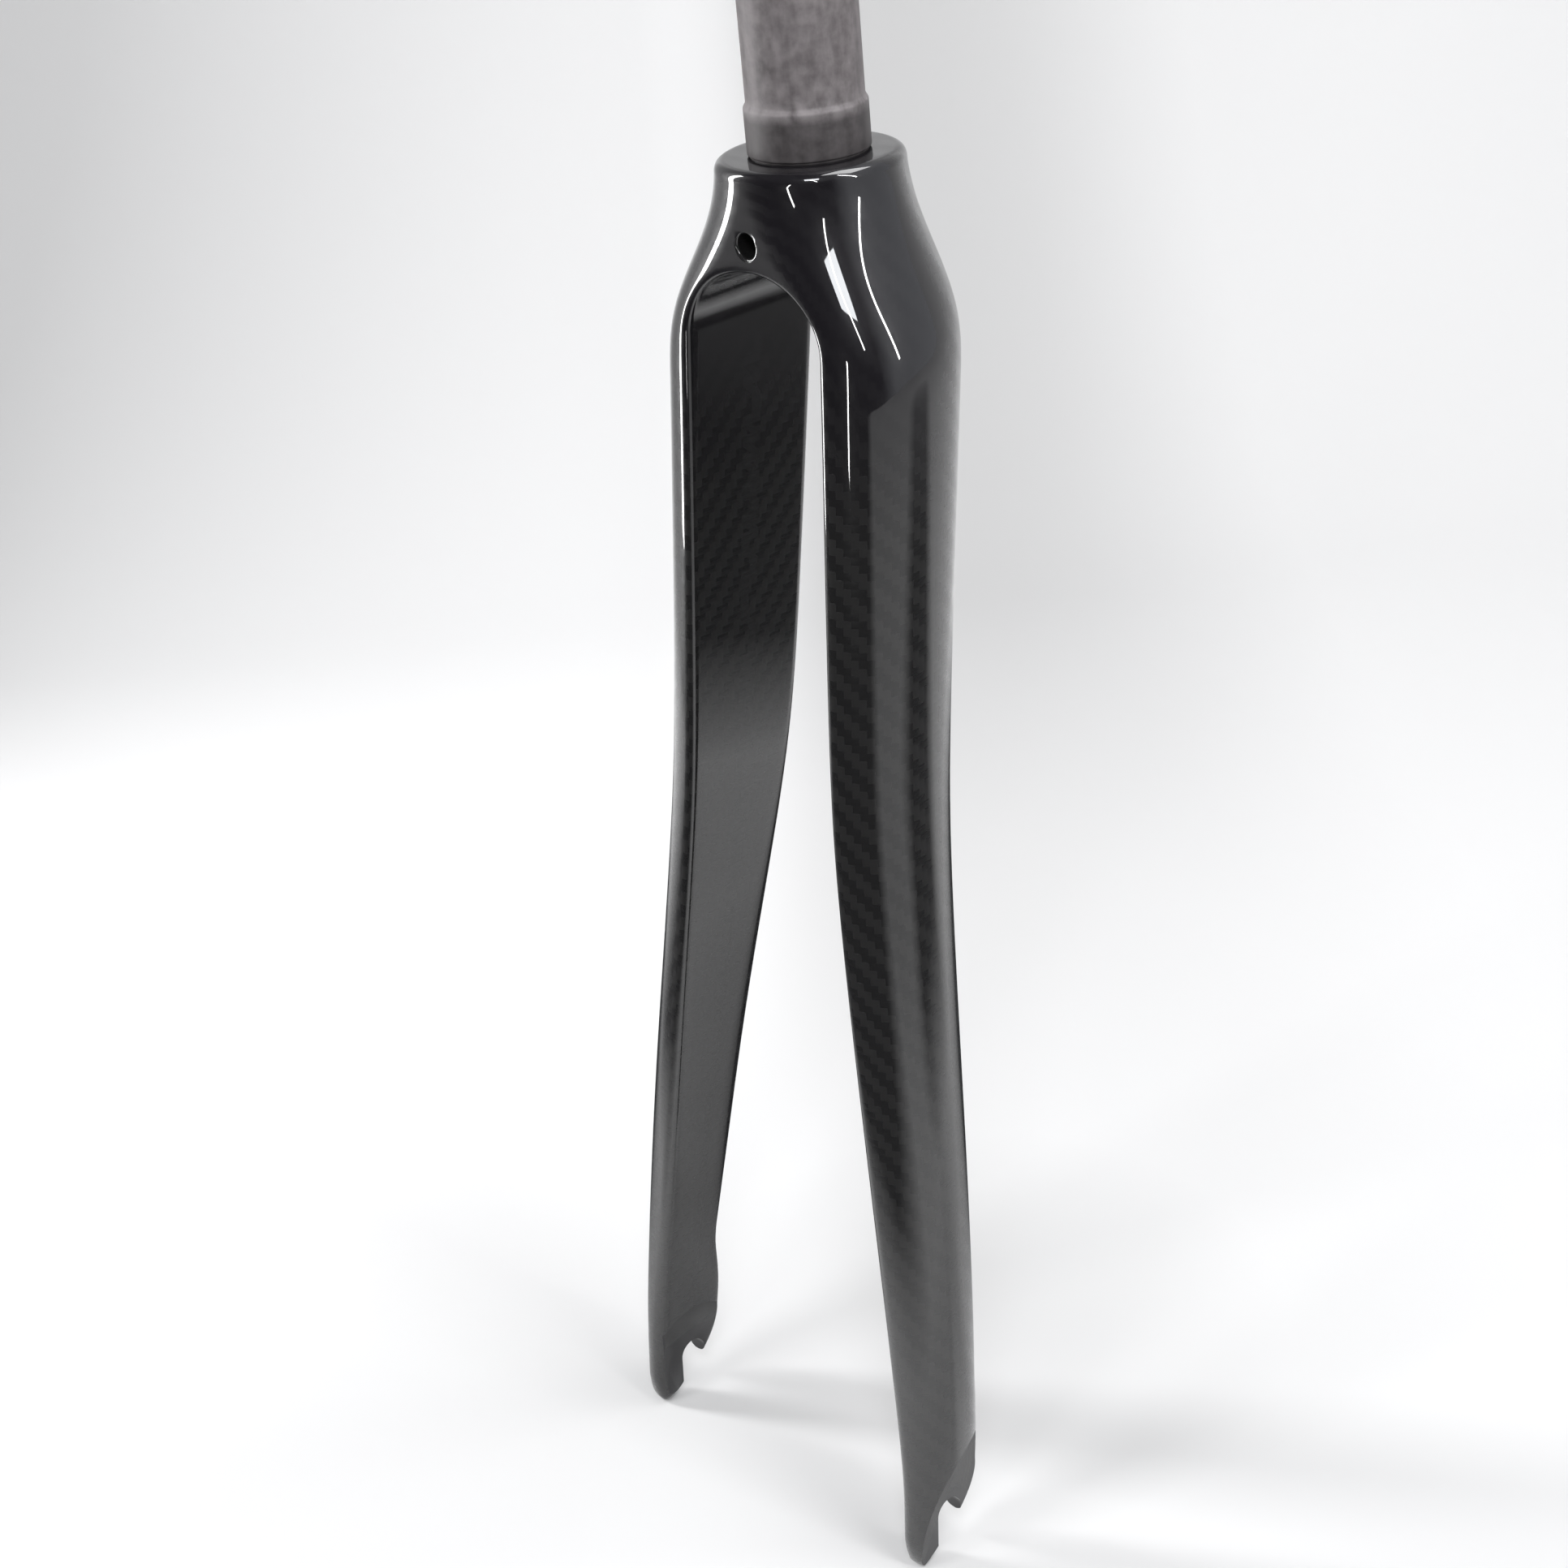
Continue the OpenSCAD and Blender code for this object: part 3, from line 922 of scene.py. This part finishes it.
def makeBackdrop(s):
    outline = [(s["front"], s["floorZ"])]
    for i in range(s["coveSteps"] + 1):
        a = math.pi / 2 * i / s["coveSteps"]
        y = s["wallBack"] - s["cove"] * (1 - math.sin(a))
        outline.append((y, s["floorZ"] + s["cove"] * (1 - math.cos(a))))
    outline.append((s["wallBack"], s["floorZ"] + s["height"]))
    shape = bmesh.new()
    rows = [[shape.verts.new((x, y, z)) for x in (-s["width"], s["width"])] for y, z in outline]
    for a, b in zip(rows, rows[1:]):
        f = shape.faces.new((a[0], a[1], b[1], b[0]))
        f.smooth = True
    mesh = bpy.data.meshes.new("backdrop")
    shape.to_mesh(mesh)
    shape.free()
    backdrop = bpy.data.objects.new("backdrop", mesh)
    scene.collection.objects.link(backdrop)
    backdrop.rotation_euler = (0, 0, math.radians(s["turn"]))
    material, shader = newMaterial("paper")
    dressPaper(material, shader, s)
    mesh.materials.append(material)


makeBackdrop(studio)


def areaLight(name, place, target, size, power, colour=(1, 1, 1)):
    data = bpy.data.lights.new(name, "AREA")
    data.shape = "RECTANGLE"
    data.size, data.size_y = size
    data.energy = power
    data.color = colour
    light = bpy.data.objects.new(name, data)
    scene.collection.objects.link(light)
    light.location = place
    way = Vector(target) - Vector(place)
    light.rotation_euler = way.to_track_quat("-Z", "Y").to_euler()
    light.visible_camera = False
    return light


# strips round the fork: compass angle of foot and head in degrees from +X, distance, heights of foot
# and head, width, power
strips = {
    "stripNear": (-78.0, -69.0, 0.85, -0.20, 0.07, 0.020, 0.8),
    "stripHigh": (-38.0, -46.0, 0.85, 0.26, 0.66, 0.024, 1.5),
    "stripRight": (9.0, -8.0, 0.75, 0.09, 0.92, 0.026, 5.0),
    "stripLeft": (-152.0, -152.0, 0.75, -0.28, 0.55, 0.120, 7.6),
}
# lamps: place, target, size, power, colour
lamps = {
    "topLight": ((0.46, 0.32, 1.10), (0, 0, -0.2), (0.7, 0.7), 12.0, (1, 1, 1)),
    "shadowLight": ((-0.26, -0.96, 0.64), (0, 0, -0.3), (0.35, 0.35), 5.0, (1, 1, 1)),
    "windowLight": ((0.624, -0.603, 0.705), (0, 0, -0.05), (0.30, 0.27), 4.2, (0.95, 0.97, 1.0)),
}


def stripLight(name, footAngle, headAngle, distance, foot, head, width, power):
    ends = [(math.radians(footAngle), foot), (math.radians(headAngle), head)]
    low, high = [Vector((distance * math.cos(a), distance * math.sin(a), z)) for a, z in ends]
    middle = (low + high) / 2
    strip = areaLight(name, middle, (0, 0, middle.z), (width, (high - low).length), power)
    along = (high - low).normalized()
    out = (middle * Vector((1, 1, 0))).normalized()
    out = (out - along * out.dot(along)).normalized()
    turn = Matrix((along.cross(out), along, out)).transposed()
    strip.matrix_world = Matrix.Translation(middle) @ turn.to_4x4()


for name, values in strips.items():
    stripLight(name, *values)
for name, values in lamps.items():
    areaLight(name, *values)
# this one gives the floor its shadow and shows in no highlight
bpy.data.objects["shadowLight"].visible_glossy = False

# the room beyond the sweep: even for soft light, white for the camera, and mirrored pale behind the fork
# and dark on the camera's side
room = {
    "plain": (0.12, 0.12, 0.122, 1),
    "seen": (0.90, 0.90, 0.905, 1),
    "glossDark": (0.012, 0.010, 0.014, 1),
    "glossPale": (0.66, 0.68, 0.72, 1),
    "paleTowards": (0.469, 0.883, 0.0),
    "paleFrom": 0.10,
    "paleTo": 0.45,
}


def makeWorld(r):
    world = bpy.data.worlds.new("world")
    scene.world = world
    world.use_nodes = True
    ground = world.node_tree.nodes["Background"]
    add, math2, links = shaderNodes(world)
    way = add("ShaderNodeTexCoord").outputs["Generated"]
    towards = add("ShaderNodeVectorMath", {0: way, 1: r["paleTowards"]}, operation="DOT_PRODUCT")
    pale = mapRange(add, towards.outputs["Value"], 0.0, 1.0, r["paleFrom"], r["paleTo"])
    gloss = add("ShaderNodeMix", {0: pale, 6: r["glossDark"], 7: r["glossPale"]}, data_type="RGBA")
    path = add("ShaderNodeLightPath").outputs
    sides = {0: path["Is Glossy Ray"], 6: r["plain"], 7: gloss.outputs[2]}
    unseen = add("ShaderNodeMix", sides, data_type="RGBA")
    sides = {0: path["Is Camera Ray"], 6: unseen.outputs[2], 7: r["seen"]}
    colour = add("ShaderNodeMix", sides, data_type="RGBA")
    links.new(colour.outputs[2], ground.inputs["Color"])
    ground.inputs["Strength"].default_value = 1.0


makeWorld(room)
scene.view_settings.view_transform = "Standard"
print("stage: studio lit")
